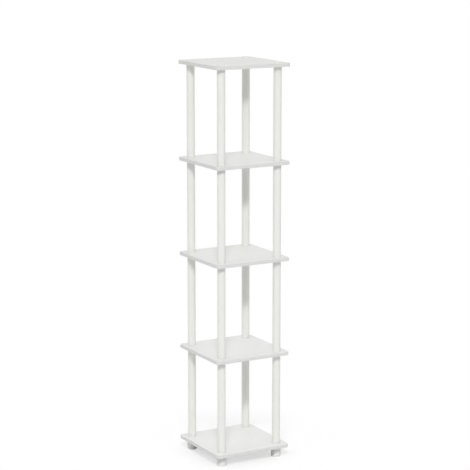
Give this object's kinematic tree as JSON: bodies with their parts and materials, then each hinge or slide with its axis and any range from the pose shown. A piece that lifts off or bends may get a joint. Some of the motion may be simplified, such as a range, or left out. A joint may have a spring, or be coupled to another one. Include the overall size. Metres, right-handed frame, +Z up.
{
  "type": "corner shelf",
  "caption": "Tall square corner shelf: white boards with rounded corners, held apart by round tubes that screw together through them, on short round feet.",
  "frame": {"origin": "on the floor, under the middle of the square boards", "axes": "+Z up, front along -Y; the boards' sides lie along X and Y"},
  "size_m": [0.3, 0.3, 1.465],
  "materials": {
    "board_foil": "satin white foil on particle board",
    "tube_plastic": "smooth white tube with a soft sheen",
    "moulded_plastic": "moulded white plastic of the feet and caps",
    "plug_plastic": "moulded plugs inside the tubes"
  },
  "bodies": {
    "root": {"bottom_board": "board_foil", "second_board": "board_foil", "middle_board": "board_foil", "fourth_board": "board_foil", "top_board": "board_foil", "tube_bay1_front_left": "tube_plastic", "tube_bay1_front_right": "tube_plastic", "tube_bay1_back_right": "tube_plastic", "tube_bay1_back_left": "tube_plastic", "tube_bay2_front_left": "tube_plastic", "tube_bay2_front_right": "tube_plastic", "tube_bay2_back_right": "tube_plastic", "tube_bay2_back_left": "tube_plastic", "tube_bay3_front_left": "tube_plastic", "tube_bay3_front_right": "tube_plastic", "tube_bay3_back_right": "tube_plastic", "tube_bay3_back_left": "tube_plastic", "tube_bay4_front_left": "tube_plastic", "tube_bay4_front_right": "tube_plastic", "tube_bay4_back_right": "tube_plastic", "tube_bay4_back_left": "tube_plastic", "foot_front_left": "moulded_plastic", "foot_front_right": "moulded_plastic", "foot_back_right": "moulded_plastic", "foot_back_left": "moulded_plastic", "top_cap_front_left": "moulded_plastic", "top_cap_front_right": "moulded_plastic", "top_cap_back_right": "moulded_plastic", "top_cap_back_left": "moulded_plastic", "stud_plugs_bay1": "plug_plastic", "stud_plugs_bay2": "plug_plastic", "stud_plugs_bay3": "plug_plastic", "stud_plugs_bay4": "plug_plastic", "socket_plugs_bay1": "plug_plastic", "socket_plugs_bay2": "plug_plastic", "socket_plugs_bay3": "plug_plastic", "socket_plugs_bay4": "plug_plastic"}
  },
  "joints": []
}
